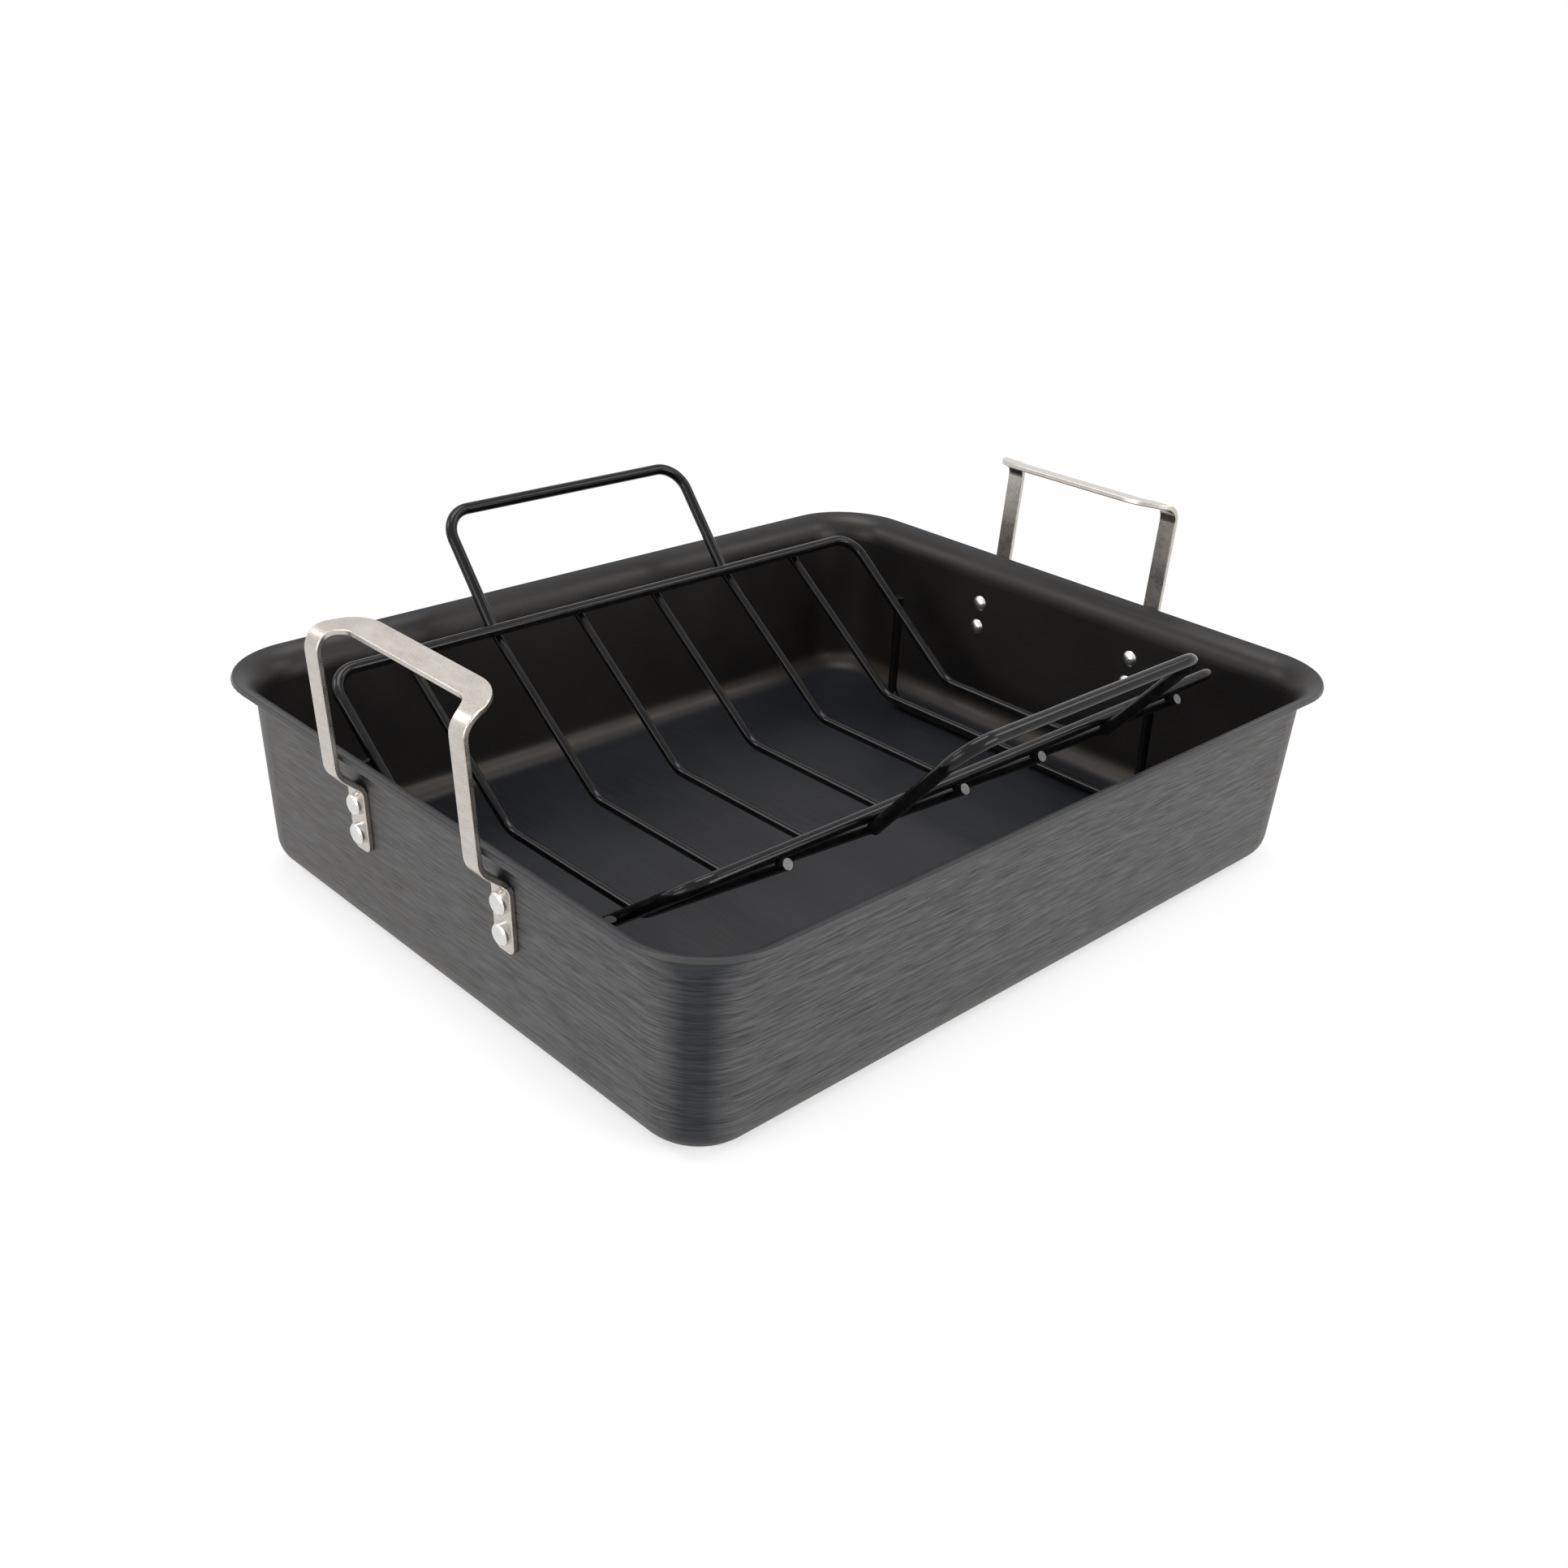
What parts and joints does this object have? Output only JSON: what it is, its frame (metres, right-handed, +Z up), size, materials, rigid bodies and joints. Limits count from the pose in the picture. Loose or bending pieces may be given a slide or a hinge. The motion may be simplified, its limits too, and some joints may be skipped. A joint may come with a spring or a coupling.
{
  "type": "roasting pan with rack",
  "caption": "Deep rectangular roasting pan with a flared lip, riveted strap handles at its ends and a wire rack with bail handles that lifts out.",
  "frame": {"origin": "middle of the pan's bottom face, on the surface that the pan stands on", "axes": "+X along the pan's long side towards one handle, +Y across it, +Z up"},
  "size_m": [0.4304, 0.3414, 0.1527],
  "materials": {
    "pan_metal": "dark hard-anodised outside with fine brush lines, black satin non-stick inside",
    "handle_steel": "satin stainless",
    "rivet_steel": "polished",
    "rack_coating": "gloss black non-stick"
  },
  "bodies": {
    "pan": {"pan": "pan_metal", "left_pan_handle": "handle_steel", "right_pan_handle": "handle_steel", "left_front_upper_rivet": "rivet_steel", "left_front_lower_rivet": "rivet_steel", "left_back_upper_rivet": "rivet_steel", "left_back_lower_rivet": "rivet_steel", "right_front_upper_rivet": "rivet_steel", "right_front_lower_rivet": "rivet_steel", "right_back_upper_rivet": "rivet_steel", "right_back_lower_rivet": "rivet_steel"},
    "rack": {"rack_frame": "rack_coating", "rack_rib_1": "rack_coating", "rack_rib_2": "rack_coating", "rack_rib_3": "rack_coating", "rack_rib_4": "rack_coating", "rack_rib_5": "rack_coating", "rack_rib_6": "rack_coating", "left_rack_stand": "rack_coating", "right_rack_stand": "rack_coating", "front_rack_handle": "rack_coating", "back_rack_handle": "rack_coating"}
  },
  "joints": [
    {"name": "rack_lift", "type": "slide", "parent": "pan", "child": "rack", "axis": [0, 0, 1], "range_m": [0, 0.165]}
  ]
}
